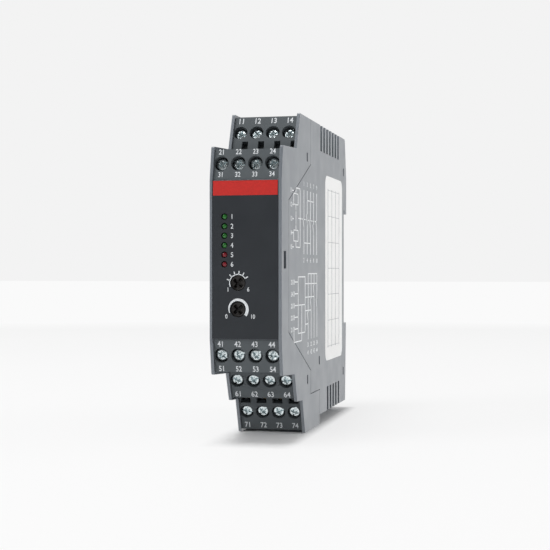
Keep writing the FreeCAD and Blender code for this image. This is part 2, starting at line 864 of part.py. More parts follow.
def rail_foot():
    """Sliding foot: tooth behind the rail's lower edge, pull slot and snap barbs below."""
    body = new_body("rail_foot")
    half, flange = size["foot_half"], size["foot_half"] + size["foot_flange"]
    low = size["foot_lift"]
    rail_low = size["rail_centre"] - size["rail_height"] / 2
    top = rail_low + size["foot_hold"]
    shoulder = size["rail_centre"] - size["recess_below"]
    catch = size["floor_rise"] - size["fit_gap"]
    barb = flange + size["foot_barb"]
    plate = sketch_on(body, "XZ_Plane", (0, 0, -foot_front()))
    right = [(flange, low), (barb, low + size["wall"]), (barb, catch), (flange, catch),
             (flange, shoulder - size["foot_travel"]), (half, shoulder - size["foot_travel"]),
             (half, top)]
    outline(plate, right + [(-x, z) for x, z in reversed(right)])
    pad(body, plate, size["foot_sheet"], backwards=True)
    stem = sketch_on(body, "XZ_Plane", (0, 0, -foot_front()))
    rectangle(stem, (-half, low), (half, top))
    pad(body, stem, size["foot_sheet"] + size["foot_back"], backwards=True)
    lug = sketch_on(body, "XZ_Plane", (0, 0, -foot_front()))
    rectangle(lug, (-size["lug_half"], size["lug_rise"]),
              (size["lug_half"], size["lug_rise"] + size["lug_tall"]))
    pad(body, lug, size["lug_deep"])
    pull = sketch_on(body, "XZ_Plane", (0, 0, size["foot_gap"] - foot_front()))
    width = size["foot_slot"] / 2
    rectangle(pull, (-width, low - OUT), (width, size["spring_seat"] - size["wall"]))
    pocket(body, pull, OUT)
    lead = side_sketch(body)
    back = foot_front() + size["foot_sheet"] + size["foot_back"]
    outline(lead, [(back + OUT, top - size["foot_back"]), (back, top - size["foot_back"]),
                   (back - size["foot_back"], top), (back - size["foot_back"], top + OUT),
                   (back + OUT, top + OUT)])
    pocket(body, lead, OUT, both_ways=True)
    return body


def foot_spring():
    """Flat folded spring that stands in the housing's nest and pushes the foot's lug up."""
    body = new_body("foot_spring")
    low = size["spring_seat"] + size["fit_gap"]
    high = size["lug_rise"] - size["fit_gap"]
    folds = SIZES["spring_folds"]
    step = (high - low - size["spring_strip"]) / folds
    reach = size["lug_half"] - size["fit_gap"]
    under = [(reach if index % 2 else -reach, low + step * index) for index in range(folds + 1)]
    over = [(x, z + size["spring_strip"]) for x, z in reversed(under)]
    strip = sketch_on(body, "XZ_Plane", (0, 0, size["lug_deep"] - foot_front()))
    outline(strip, under + over)
    pad(body, strip, size["lug_deep"] - size["foot_gap"], backwards=True)
    return body


# ---------------------------------------------------------------- front controls

def light_pipes(label, first, count):
    """Clear lamp rods from their light sources to the front face, counted from the top lamp."""
    body = new_body(label)
    body.AllowCompound = True
    rod = sketch_on(body, "XZ_Plane", (0, 0, -size["plate_sink"]))
    lowest = lamp_height(first + count - 1)
    polygon(rod, ROUND_SIDES, size["lamp_size"] - size["fit_gap"] * 2, (lamp_across, lowest))
    source = size["front_board_depth"] - size["chip_tall"] / 2
    lens = pad(body, rod, source - size["plate_sink"] - size["fit_gap"] * 2, backwards=True)
    repeat(body, [lens], (rod, ["V_Axis"]), lamp_pitch, term(count))
    return body


def status_leds():
    """Six surface-mount light sources on the front board."""
    body = new_body("status_leds")
    body.AllowCompound = True
    face = sketch_on(body, "XZ_Plane", (0, 0, -size["front_board_depth"]))
    low = lamp_height(SIZES["lamp_count"] - 1)
    half = size["lamp_size"] / 2
    rectangle(face, (lamp_across - half, low - half / 2),
              (lamp_across + half, low + half / 2))
    chip = pad(body, face, size["chip_tall"] / 2)
    repeat(body, [chip], (face, ["V_Axis"]), lamp_pitch, size["lamp_count"])
    return body


def adjuster(label, place, turn):
    """Rotary adjuster: a knob with a driver cross, its spindle running back."""
    body = new_body(label, (place[0], size["dial_sink"], place[1]))
    profile = sketch_on(body, "XY_Plane")
    knob, spindle = size["dial_size"] / 2, size["spindle"] / 2
    thick = size["dial_thick"]
    outline(profile, [(0, 0), (knob, 0), (knob, thick), (spindle, thick),
                      (spindle, thick + size["spindle_long"]), (0, thick + size["spindle_long"])])
    revolve(body, profile)
    drive = sketch_on(body, "XZ_Plane", (0, 0, 0), term(turn), Z_AXIS)
    plus_sign(drive, size["drive_reach"], size["drive_reach"], size["dial_slot"])
    pocket(body, drive, size["dial_slot_deep"])
    return body


def switch_body(label, place):
    """Housing of a rotary adjuster on the front board, with a well for the spindle."""
    body = new_body(label, (place[0], size["front_board_depth"], place[1]))
    front = size["dial_sink"] + size["dial_thick"] + size["dial_gap"] * 2
    deep = size["front_board_depth"] - front
    half = (dial_pitch - size["switch_gap"]) / 2
    block = sketch_on(body, "XZ_Plane")
    rectangle(block, (-half, -half), (half, half))
    pad(body, block, deep)
    well = sketch_on(body, "XZ_Plane", (0, 0, deep))
    circle(well, (ZERO, ZERO), size["spindle"] + size["spindle_gap"] * 2)
    pocket(body, well, size["spindle_long"])
    return body


# ---------------------------------------------------------------- electronics

def front_board():
    """Board behind the label, parallel to it, that carries lamps and adjusters."""
    body = new_body("front_board")
    face = sketch_on(body, "XZ_Plane", (0, 0, -size["front_board_depth"]))
    half = inner_half - size["board_gap"]
    margin = size["block_tongue"] + size["board_gap"]
    rectangle(face, (-half, label_bottom + margin), (half, label_top - margin))
    pad(body, face, size["board_sheet"], backwards=True)
    return body


def main_board():
    """Power board along the left wall, cut round the terminal blocks."""
    body = new_body("main_board")
    margin, wall = size["board_margin"], size["wall"]
    half = inner_half - size["board_gap"]
    tongue = size["block_tongue"]
    start = size["front_board_depth"] + size["board_sheet"] + margin
    back = size["depth"] - size["recess_deep"] - wall - margin
    top = size["height"] - wall - margin
    low = size["floor_rise"] + wall + margin
    heads = {tier: BLOCKS[tier] for tier in TIERS}
    upper = label_top - tongue - margin
    lower = label_bottom + tongue + margin
    hump = heads[upper_rear][0][3][1] - margin
    dip = heads[lower_middle][0][5][1] + margin
    toe = heads[lower_rear][0][3][1] + margin
    side = sketch_on(body, "YZ_Plane", (0, 0, -half))
    outline(side, [
        (start, lower), (start, upper),
        (heads[upper_front][1] + margin, upper), (heads[upper_front][1] + margin, hump),
        (heads[upper_rear][1] + margin, hump), (heads[upper_rear][1] + margin, top),
        (back, top), (back, low), (heads[lower_rear][1] + margin, low),
        (heads[lower_rear][1] + margin, toe), (heads[lower_middle][1] + margin, toe),
        (heads[lower_middle][1] + margin, dip), (heads[lower_front][1] + margin, dip),
        (heads[lower_front][1] + margin, lower),
    ])
    pad(body, side, size["board_sheet"])
    return body


def board_face():
    """Where components stand on the main board, across the width."""
    return size["board_gap"] + size["board_sheet"] - inner_half


def boxed(label, low, high):
    """A rectangular component between two corners of the side view, standing on a board."""
    body = new_body(label)
    face = sketch_on(body, "YZ_Plane", (0, 0, low[0]))
    rectangle(face, (low[1], low[2]), (high[1], high[2]))
    pad(body, face, high[0] - low[0])
    return body


relay_spacing = size["relay_tall"] + size["relay_gap"]
relay_low = (size["height"] - size["wall"] - size["relay_head"]
             - relay_spacing - size["relay_tall"])


def force_guided_relay(number):
    """One of two switching relays, stacked below the roof: a base with the case stepped in on it."""
    low, start = relay_low + relay_spacing * number, size["relay_depth"]
    face, inset = board_face(), size["relay_inset"]
    end, high = start + size["relay_long"], low + size["relay_tall"]
    body = boxed(f"force_guided_relay_{number + 1}", (face, start, low),
                 (face + size["relay_base"], end, high))
    case = sketch_on(body, "YZ_Plane", (0, 0, face + size["relay_base"]))
    rectangle(case, (start + inset, low + inset), (end - inset, high - inset))
    pad(body, case, size["relay_wide"] - size["relay_base"])
    return body


def supply_transformer():
    """Isolating transformer: core with its winding standing proud to the front and back."""
    face, low, start = board_face(), size["core_low"], size["relay_depth"]
    body = boxed("supply_transformer", (face, start, low),
                 (face + size["relay_wide"], start + size["core_long"], low + size["core_tall"]))
    winding = sketch_on(body, "YZ_Plane", (0, 0, face + size["wall"]))
    inset = size["core_tall"] / 5
    rectangle(winding, (start - size["wall"], low + inset),
              (start + size["core_long"] + size["wall"], low + size["core_tall"] - inset))
    pad(body, winding, size["relay_wide"] - size["wall"] * 2)
    return body


def supply_capacitor():
    """Smoothing capacitor, standing on the main board."""
    body = new_body("supply_capacitor")
    face = sketch_on(body, "YZ_Plane", (0, 0, board_face()))
    circle(face, (size["relay_depth"] - size["can_size"], relay_low + size["can_size"]),
           size["can_size"])
    pad(body, face, size["can_long"])
    return body


def logic_board():
    """Monitoring board along the right wall."""
    body = new_body("logic_board")
    half = inner_half - size["board_gap"]
    start = BLOCKS[lower_rear][1] + size["board_margin"]
    side = sketch_on(body, "YZ_Plane", (0, 0, half))
    rectangle(side, (start, relay_low),
              (size["relay_depth"] + size["relay_long"], relay_low + relay_spacing * 2))
    pad(body, side, size["board_sheet"], backwards=True)
    return body


def microcontrollers():
    """The two monitoring controllers on the logic board."""
    body = new_body("microcontrollers")
    body.AllowCompound = True
    face = sketch_on(body, "YZ_Plane", (0, 0, inner_half - size["board_gap"] - size["board_sheet"]))
    start = size["relay_depth"] + size["relay_wide"] / 2
    low = relay_low + (size["relay_tall"] - size["chip_size"]) / 2
    side = size["chip_size"]
    rectangle(face, (start, low), (start + side, low + side))
    chip = pad(body, face, size["chip_tall"], backwards=True)
    repeat(body, [chip], (face, ["V_Axis"]), relay_spacing, term(2))
    return body


def board_connector():
    """Pin strip that joins the front board to the main board."""
    face = board_face()
    start = size["front_board_depth"] + size["board_sheet"]
    middle = (label_top + label_bottom) / 2
    return boxed("board_connector", (face, start, middle - size["connector_half"]),
                 (face + size["connector_wide"], start + size["connector_long"],
                  middle + size["connector_half"]))


# ---------------------------------------------------------------- the whole part

# Rest angle of each screw's driver slot, degrees, tier by tier as in TIERS.
SLOT_TURNS = [
    [-20, 35, 12, -48],
    [28, -12, 55, 15],
    [-35, 20, 40, -10],
    [62, 30, -25, 8],
    [-15, 45, 25, 70],
]


def build_all():
    parts = [front_hood(), rear_housing(), front_plate()]
    for tier, turns in zip(TIERS, SLOT_TURNS):
        parts += [terminal_block(tier), clamp_cages(tier), contact_bars(tier)]
        parts += [clamp_screw(tier, column, turns[column % len(turns)])
                  for column in range(SIZES["ways"])]
    mode, delay = dial_places()
    parts += [adjuster("mode_dial", mode, 45), adjuster("delay_dial", delay, 45)]
    parts += [switch_body("mode_switch", mode), switch_body("delay_trimmer", delay)]
    parts += [light_pipes("green_light_pipes", 0, 4), light_pipes("red_light_pipes", 4, 2)]
    parts += [status_leds(), front_board(), board_connector(), main_board()]
    parts += [force_guided_relay(0), force_guided_relay(1), supply_transformer()]
    parts += [supply_capacitor(), logic_board(), microcontrollers()]
    parts += [rail_foot(), foot_spring()]
    return parts


def check_and_export(parts):
    doc.recompute()
    for item in doc.Objects:
        if "Invalid" in item.State or "Error" in item.State:
            raise RuntimeError(f"{item.Label}: {item.State}")
    os.makedirs("parts", exist_ok=True)
    for part in parts:
        if part.Shape.isNull() or not part.Shape.isValid() or not part.Shape.Solids:
            raise RuntimeError(f"{part.Label} has no valid shape")
        part.Shape.exportStep(f"parts/{part.Label}.step")


check_and_export(build_all())
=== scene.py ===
"""Safety relay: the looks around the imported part. Lengths are in metres."""
import json
import math

import bmesh
import bpy
from mathutils import Matrix, Vector


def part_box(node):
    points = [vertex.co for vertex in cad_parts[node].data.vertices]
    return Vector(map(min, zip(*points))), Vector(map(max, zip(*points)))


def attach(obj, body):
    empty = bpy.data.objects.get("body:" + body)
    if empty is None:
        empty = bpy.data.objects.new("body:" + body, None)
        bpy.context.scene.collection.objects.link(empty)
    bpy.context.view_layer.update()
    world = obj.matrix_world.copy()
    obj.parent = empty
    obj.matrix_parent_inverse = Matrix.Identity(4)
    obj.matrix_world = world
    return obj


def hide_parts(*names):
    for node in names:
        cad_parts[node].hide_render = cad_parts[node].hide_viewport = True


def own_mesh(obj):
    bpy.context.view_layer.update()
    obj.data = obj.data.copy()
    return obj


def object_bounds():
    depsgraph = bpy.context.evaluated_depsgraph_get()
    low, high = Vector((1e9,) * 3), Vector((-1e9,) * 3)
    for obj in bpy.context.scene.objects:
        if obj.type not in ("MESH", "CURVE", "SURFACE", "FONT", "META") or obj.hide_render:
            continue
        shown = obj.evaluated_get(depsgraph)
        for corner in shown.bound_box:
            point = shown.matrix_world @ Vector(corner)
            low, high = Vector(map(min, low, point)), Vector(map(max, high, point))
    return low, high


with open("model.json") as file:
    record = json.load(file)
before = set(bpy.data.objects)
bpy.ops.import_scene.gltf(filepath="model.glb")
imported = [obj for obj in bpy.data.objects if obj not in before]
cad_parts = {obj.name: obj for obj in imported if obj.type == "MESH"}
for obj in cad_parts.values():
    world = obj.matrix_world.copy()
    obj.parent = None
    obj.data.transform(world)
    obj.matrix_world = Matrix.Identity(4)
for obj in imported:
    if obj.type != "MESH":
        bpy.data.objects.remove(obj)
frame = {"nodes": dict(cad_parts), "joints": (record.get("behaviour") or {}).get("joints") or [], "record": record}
CAD_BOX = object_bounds()
NODES = frame["nodes"]
JOINTS = {joint["child"]: joint for joint in frame["joints"]}
MM = 0.001
BODY = "relay_body"
SIDE = CAD_BOX[1].x  # half the width, where the moulded sides lie
SIDE_INSET = 0.05 * MM  # room on the sides for the print and the sticker
PRINT = 0.02 * MM  # how far print stands proud
TIERS = ["upper_rear", "upper_front", "lower_front", "lower_middle", "lower_rear"]
TERMINALS = 4  # in each tier


# ---------------------------------------------------------------- materials

def rgb(code):
    """A colour written as six hex digits, as linear light."""
    parts = [int(code[i:i + 2], 16) / 255 for i in (0, 2, 4)]
    return tuple(c / 12.92 if c <= 0.04045 else ((c + 0.055) / 1.055) ** 2.4 for c in parts) + (1.0,)


def map_range(tree, value, start, end, low=0.0, high=1.0):
    """Node whose result runs from low to high while the value runs from start to end."""
    node = tree.nodes.new("ShaderNodeMapRange")
    for name, level in (("From Min", start), ("From Max", end), ("To Min", low), ("To Max", high)):
        node.inputs[name].default_value = level
    tree.links.new(value, node.inputs["Value"])
    return node


def math_output(tree, operation, *values):
    """Output of a Math node over other outputs."""
    node = tree.nodes.new("ShaderNodeMath")
    node.operation = operation
    for value, socket in zip(values, node.inputs):
        tree.links.new(value, socket)
    return node.outputs["Value"]


TONE_ENDS = 0.35, 0.65  # levels of the noise between which a tone changes
SHEEN_ENDS = 0.3, 0.7  # and levels between which a roughness changes


class Look:
    """A Principled material with its nodes in reach."""

    def __init__(self, name):
        self.material = bpy.data.materials.new(name)
        self.material.use_nodes = True
        self.tree = self.material.node_tree
        self.nodes = self.tree.nodes
        self.links = self.tree.links
        self.shader = self.nodes["Principled BSDF"]
        self.place = self.nodes.new("ShaderNodeTexCoord").outputs["Object"]

    def set(self, **values):
        for name, value in values.items():
            self.shader.inputs[name.replace("_", " ")].default_value = value

    def noise(self, size, detail=3.0):
        """Noise whose features are about size metres across."""
        noise = self.nodes.new("ShaderNodeTexNoise")
        noise.inputs["Scale"].default_value = 1 / size
        noise.inputs["Detail"].default_value = detail
        self.links.new(self.place, noise.inputs["Vector"])
        return noise.outputs["Fac"]

    def ramp(self, factor, low, high):
        """A tone between two colours."""
        ramp = self.nodes.new("ShaderNodeValToRGB")
        for stop, level, colour in zip(ramp.color_ramp.elements, TONE_ENDS, (low, high)):
            stop.position = level
            stop.color = colour
        self.links.new(factor, ramp.inputs["Fac"])
        return ramp.outputs["Color"]

    def span(self, factor, low, high):
        """A roughness between two levels."""
        return map_range(self.tree, factor, *SHEEN_ENDS, low, high).outputs["Result"]

    def bump(self, factor, height):
        bump = self.nodes.new("ShaderNodeBump")
        bump.inputs["Distance"].default_value = height
        bump.inputs["Strength"].default_value = 1.0
        self.links.new(factor, bump.inputs["Height"])
        return bump.outputs["Normal"]

    def wire(self, name, socket):
        self.links.new(socket, self.shader.inputs[name])


def shade(colour, factor):
    return tuple(channel * factor for channel in colour[:3]) + (1.0,)


def moulded(name, code, rough=0.5, vary=0.03, grain=0.22 * MM, depth=0.012 * MM, shine=0.5):
    """Spark-eroded moulded plastic: fine grain, faint flow marks, uneven sheen."""
    look = Look(name)
    base = rgb(code)
    flow = look.noise(14 * MM, 2.0)
    look.wire("Base Color", look.ramp(flow, shade(base, 1 - vary), shade(base, 1 + vary)))
    look.wire("Roughness", look.span(look.noise(7 * MM, 1.0), rough - 0.04, rough + 0.04))
    look.wire("Normal", look.bump(look.noise(grain, 1.5), depth))
    look.set(Specular_IOR_Level=shine)
    return look.material


def metal(name, code, rough=0.3, vary=0.12, grain=0.3 * MM, depth=0.006 * MM):
    """Plated or plain metal with an uneven tone and sheen."""
    look = Look(name)
    base = rgb(code)
    tone = look.noise(grain * 3, 4.0)
    look.wire("Base Color", look.ramp(tone, shade(base, 1 - vary), shade(base, 1 + vary / 2)))
    look.wire("Roughness", look.span(look.noise(grain * 2), rough - 0.08, rough + 0.1))
    look.wire("Normal", look.bump(look.noise(grain), depth))
    look.set(Metallic=1.0)
    return look.material


def ink(name, code, rough=0.6, low=0.88):
    """Pad-printed ink, a little uneven: its tone falls to low in places."""
    look = Look(name)
    base = rgb(code)
    look.wire("Base Color", look.ramp(look.noise(0.5 * MM, 4.0), shade(base, low), base))
    look.wire("Roughness", look.span(look.noise(0.3 * MM), rough - 0.08, rough + 0.08))
    look.wire("Normal", look.bump(look.noise(0.15 * MM), 0.003 * MM))
    return look.material


def lens(name, code):
    """Dyed clear plastic of a lamp rod, slightly cloudy inside."""
    look = Look(name)
    base = rgb(code)
    look.wire("Base Color", look.ramp(look.noise(0.6 * MM, 2.0), shade(base, 0.75), base))
    look.wire("Normal", look.bump(look.noise(0.5 * MM), 0.003 * MM))
    look.set(Roughness=0.18, Transmission_Weight=0.25, IOR=1.49)
    return look.material


MATERIALS = {
    # The housing and the terminal blocks are one plastic in the object: the housing's lighter tone is painted
    # light for its lit sides.
    "housing": moulded("housing_plastic", "6e747b", rough=0.32, depth=0.006 * MM, shine=0.8),
    "terminal_block": moulded("block_plastic", "585d60", rough=0.5, shine=0.1),
    "front_plate": moulded("label_film", "1f242a", rough=0.4, vary=0.04, grain=0.12 * MM, depth=0.004 * MM),
    "adjuster": moulded("adjuster_plastic", "171413", rough=0.42, grain=0.3 * MM, shine=0.4),
    "lens_green": lens("green_lens", "2f7f35"),
    "lens_red": lens("red_lens", "8e2430"),
    "zinc": metal("zinc_plate", "dfe8ea", rough=0.24),
    "contact": metal("contact_metal", "c3a56a", rough=0.35),
    "board": moulded("board_laminate", "1e5c3a", rough=0.4, vary=0.1),
    "component": moulded("component_case", "26272a", rough=0.5),
    "relay_case": moulded("relay_case", "d8d4c8", rough=0.4),
    "core": metal("core_iron", "55524f", rough=0.5),
    "can": metal("can_metal", "9fa6ad", rough=0.35),
    "led": moulded("led_body", "e8e6da", rough=0.4),
    "foot": moulded("foot_plastic", "2b2d30", rough=0.48),
    "spring": metal("spring_steel", "a9adb0", rough=0.3),
}
WHITE_INK = ink("white_ink", "dde1e4")
SIDE_INK = ink("side_ink", "fafcfd")
GREY_INK = ink("grey_ink", "c2c5c7")
RED_INK = ink("red_ink", "c51a10", rough=0.45)
PAPER = ink("label_paper", "fafaf9", rough=0.5, low=0.96)


# ---------------------------------------------------------------- mesh helpers

def add_piece(name, mesh, body, material):
    """A finished mesh as an object that rides on a body."""
    piece = bpy.data.objects.new(name, mesh)
    bpy.context.scene.collection.objects.link(piece)
    mesh.materials.clear()
    mesh.materials.append(material)
    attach(piece, body)
    return piece


def baked(piece):
    """The mesh of an object with its modifiers applied."""
    graph = bpy.context.evaluated_depsgraph_get()
    return bpy.data.meshes.new_from_object(piece.evaluated_get(graph))


ROLL_SEGMENTS = 2
ROLL_ANGLE, SHARP_ANGLE = math.radians(35), math.radians(50)  # edges that are rolled, and those shown sharp


def rounded(mesh, width):
    """The mesh with its sharp edges rolled over by width, and normals that keep flat faces flat."""
    piece = bpy.data.objects.new("rounding", mesh)
    bpy.context.scene.collection.objects.link(piece)
    mesh.shade_smooth()
    roll = piece.modifiers.new("roll", "BEVEL")
    roll.width = width
    roll.segments = ROLL_SEGMENTS
    roll.limit_method = "ANGLE"
    roll.angle_limit = ROLL_ANGLE
    roll.miter_outer = "MITER_ARC"
    piece.data = baked(piece)
    piece.modifiers.clear()
    piece.data.set_sharp_from_angle(angle=SHARP_ANGLE)
    flatten = piece.modifiers.new("flatten", "WEIGHTED_NORMAL")
    flatten.keep_sharp = True
    flatten.weight = 100
    result = baked(piece)
    bpy.data.objects.remove(piece)
    return result


def mesh_of(work, name):
    """The finished work as a mesh."""
    mesh = bpy.data.meshes.new(name)
    work.to_mesh(mesh)
    work.free()
    return mesh


HOLE_TOLERANCE = 0.02 * MM  # how far from a hole's radius a vertex of it may lie
BLOCK_SKIN = 0.03 * MM  # how far a widened hole stays inside a node's sides
WELD = 0.001 * MM
FLAT = math.radians(1)  # faces that meet at less are one


def cleaned(node, inset=0.0, holes=()):
    """A CAD node's mesh with whole flat faces; inset draws the outer sides in.

    Each hole is a spot, its radius now and the radius it gets about the spot's z axis.
    """
    work = bmesh.new()
    work.from_mesh(NODES[node].data)
    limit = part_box(node)[1].x - BLOCK_SKIN
    for place, old, new in holes:
        inverse = place.inverted()
        for vertex in work.verts:
            spot = inverse @ vertex.co
            if abs(math.hypot(spot.x, spot.y) - old) < HOLE_TOLERANCE:
                spot = place @ Vector((spot.x * new / old, spot.y * new / old, spot.z))
                vertex.co = (max(-limit, min(limit, spot.x)), spot.y, spot.z)
    bmesh.ops.remove_doubles(work, verts=work.verts, dist=WELD)
    bmesh.ops.dissolve_limit(work, angle_limit=FLAT, verts=work.verts, edges=work.edges)
    for vertex in work.verts:
        if abs(vertex.co.x) > SIDE - inset / 2:
            vertex.co.x -= math.copysign(inset, vertex.co.x)
    return mesh_of(work, node)


def lathe(profile, segments=48):
    """A closed mesh turned about z from (radius, height) points; it starts and ends on the axis."""
    work = bmesh.new()
    rings = []
    for radius, height in profile:
        if radius == 0:
            rings.append([work.verts.new((0, 0, height))])
            continue
        turns = [math.tau * index / segments for index in range(segments)]
        rings.append([work.verts.new((radius * math.cos(a), radius * math.sin(a), height)) for a in turns])
    for over, under in zip(rings, rings[1:]):
        for index in range(segments):
            after = (index + 1) % segments
            if len(over) == 1:
                corners = [over[0], under[index], under[after]]
            elif len(under) == 1:
                corners = [over[index], under[0], over[after]]
            else:
                corners = [over[index], under[index], under[after], over[after]]
            work.faces.new(corners)
    return mesh_of(work, "turned")


def prism(low, low_height, high, high_height):
    """A closed mesh between two outlines with as many points, low and high up."""
    work = bmesh.new()
    bottom = [work.verts.new((x, y, low_height)) for x, y in low]
    top = [work.verts.new((x, y, high_height)) for x, y in high]
    work.faces.new(list(reversed(bottom)))
    work.faces.new(top)
    count = len(bottom)
    for index in range(count):
        after = (index + 1) % count
        work.faces.new([bottom[index], bottom[after], top[after], top[index]])
    return mesh_of(work, "prism")


def cross_outline(reach, width):
    """Outline of a plus sign: how far it is across and the width of its arms."""
    a, c = reach / 2, width / 2
    return [(a, -c), (a, c), (c, c), (c, a), (-c, a), (-c, c),
            (-a, c), (-a, -c), (-c, -c), (-c, -a), (c, -a), (c, -c)]


def box_outline(wide, tall):
    return [(-wide / 2, -tall / 2), (wide / 2, -tall / 2), (wide / 2, tall / 2), (-wide / 2, tall / 2)]


EIGHTH_TURN = Matrix.Rotation(math.radians(45), 4, "Z")


def carved(mesh, cutters):
    """The mesh less every cutter."""
    piece = bpy.data.objects.new("carving", mesh)
    bpy.context.scene.collection.objects.link(piece)
    tools = []
    for cutter in cutters:
        tool = bpy.data.objects.new("cutter", cutter)
        bpy.context.scene.collection.objects.link(tool)
        cut = piece.modifiers.new("cut", "BOOLEAN")
        cut.operation = "DIFFERENCE"
        cut.solver = "EXACT"
        cut.object = tool
        tools.append(tool)
    bpy.context.view_layer.update()
    result = baked(piece)
    for helper in [piece, *tools]:
        bpy.data.objects.remove(helper)
    return result


def frame_at(origin, out, right=(1, 0, 0)):
    """Matrix of a spot: x to the right, y up, z outwards."""
    out, right = Vector(out).normalized(), Vector(right)
    up = out.cross(right)
    turn = Matrix((right, up, out)).transposed().to_4x4()
    return Matrix.Translation(origin) @ turn


def dress_node(name, node, slot, mesh, body=BODY):
    """A piece that stands for a CAD node of its slot's material."""
    piece = add_piece(name, mesh, body, MATERIALS[slot])
    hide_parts(node)
    return piece


# ---------------------------------------------------------------- the part

def dress_cad_nodes():
    """Every node gets its slot's material."""
    for entry in frame["record"]["subparts"]:
        slots = NODES[entry["node"]].data.materials
        slots.clear()
        slots.append(MATERIALS[entry["material_slot"]])


def joint_frame(child):
    """The spot of a turning piece on the face in front of it, z along its axis outwards."""
    joint = JOINTS[child]
    return frame_at(joint["pos_m"], -Vector(joint["axis"]))


def turned_to(place, height, turn):
    """Matrix that sets a turned piece at a height over a spot, turned by degrees about its axis."""
    return place @ Matrix.Translation((0, 0, height)) @ Matrix.Rotation(math.radians(turn), 4, "Z")


def ends_of(node, place):
    """Highest and lowest z of a node from a spot."""
    inverse = place.inverted()
    heights = [(inverse @ vertex.co).z for vertex in NODES[node].data.vertices]
    return max(heights), min(heights)


CAD_BORE, BORE = 2.1 * MM, 2.27 * MM  # radius of a screw's bore in the frame and as it looks
CAD_HOLE, HOLE = 2.65 * MM, 2.37 * MM  # radius of an adjuster's hole in the label
SHELL_EDGE, BLOCK_EDGE, FILM_EDGE = 0.28 * MM, 0.16 * MM, 0.04 * MM  # how far edges are rolled over


def build_mouldings():
    for node in ("front_hood", "rear_housing"):
        dress_node(f"{node}_moulding", node, "housing", rounded(cleaned(node, SIDE_INSET), SHELL_EDGE))
    for tier in TIERS:
        node = f"terminal_block_{tier}"
        spots = [joint_frame(f"screw_{tier}_{number}") for number in range(1, TERMINALS + 1)]
        mesh = rounded(cleaned(node, holes=[(spot, CAD_BORE, BORE) for spot in spots]), BLOCK_EDGE)
        dress_node(f"{node}_moulding", node, "terminal_block", mesh)
    dials = [(joint_frame(dial), CAD_HOLE, HOLE) for dial in ("mode_dial", "delay_dial")]
    film = rounded(cleaned("front_plate", holes=dials), FILM_EDGE)
    dress_node("front_plate_film", "front_plate", "front_plate", film)


SPRING_FOLDS = 7
SPRING_SHEET = 0.5 * MM
SPRING_EDGE = 0.05 * MM
BEND_STEPS = 8  # flat pieces round each bend of the spring


def spring_path(reach, rise):
    """The middle line of the folded spring: (across, up) points from its lower end."""
    path = []
    for fold in range(SPRING_FOLDS + 1):
        way = -1 if fold % 2 else 1
        path += [(-way * reach, fold * rise), (way * reach, fold * rise)]
        if fold < SPRING_FOLDS:
            for step in range(1, BEND_STEPS):
                angle = math.pi * (step / BEND_STEPS - 0.5)
                across = reach + math.cos(angle) * rise / 2
                path.append((way * across, (fold + 0.5 + math.sin(angle) / 2) * rise))
    return path


def spring_mesh():
    """Flat strip folded to and fro, between the housing's nest and the foot's lug."""
    low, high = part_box("foot_spring")
    rise = (high.z - low.z - SPRING_SHEET) / SPRING_FOLDS
    path = spring_path(high.x - (SPRING_SHEET + rise) / 2, rise)
    work = bmesh.new()
    rings = []
    for index, (x, z) in enumerate(path):
        before, after = path[max(index - 1, 0)], path[min(index + 1, len(path) - 1)]
        along = Vector((after[0] - before[0], 0, after[1] - before[1])).normalized()
        side = Vector((along.z, 0, -along.x)) * SPRING_SHEET / 2
        middle = Vector((x, 0, z + low.z + SPRING_SHEET / 2))
        over, under = middle + side, middle - side
        corners = [(over, low.y), (under, low.y), (under, high.y), (over, high.y)]
        rings.append([work.verts.new((spot.x, y, spot.z)) for spot, y in corners])
    for here, there in zip(rings, rings[1:]):
        for corner in range(4):
            after = (corner + 1) % 4
            work.faces.new([here[corner], here[after], there[after], there[corner]])
    work.faces.new(rings[0])
    work.faces.new(rings[-1])
    bmesh.ops.recalc_face_normals(work, faces=work.faces)
    return rounded(mesh_of(work, "spring"), SPRING_EDGE)


def build_spring():
    """The foot's folded spring, as a piece with a mesh of its own."""
    piece = dress_node("foot_spring_folded", "foot_spring", "spring", spring_mesh())
    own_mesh(piece)


# Rest angle of each screw's slot in degrees, tier by tier, as in the part's source.
SLOT_TURNS = [
    [-20, 35, 12, -48],
    [28, -12, 55, 15],
    [-35, 20, 40, -10],
    [62, 30, -25, 8],
    [-15, 45, 25, 70],
]
# Height of the heads' tops from each tier's face.
HEAD_TOPS = [-1.0 * MM, -1.3 * MM, -0.8 * MM, -0.5 * MM, -0.5 * MM]
HEAD, HEAD_HEIGHT = 1.9 * MM, 1.9 * MM  # radius and height of a head
CHAMFER = 0.1 * MM
THREAD, CORE, PITCH = 1.25 * MM, 1.0 * MM, 0.45 * MM  # outer and inner radius of the thread, and its rise
SCREW_EDGE = 0.03 * MM
ABOVE = 0.2 * MM  # how far a driver's cut stands over the head that it cuts
CUT_REACH = 1.62  # across the mouth of a cross cut, as a share of the head's radius


def driver_cross(radius, depth, foot, foot_width, mouth_width):
    """Cutter for a tapered cross in a head whose top is at z = 0."""
    reach = radius * CUT_REACH
    return prism(cross_outline(foot, foot_width), -depth, cross_outline(reach, mouth_width), ABOVE)


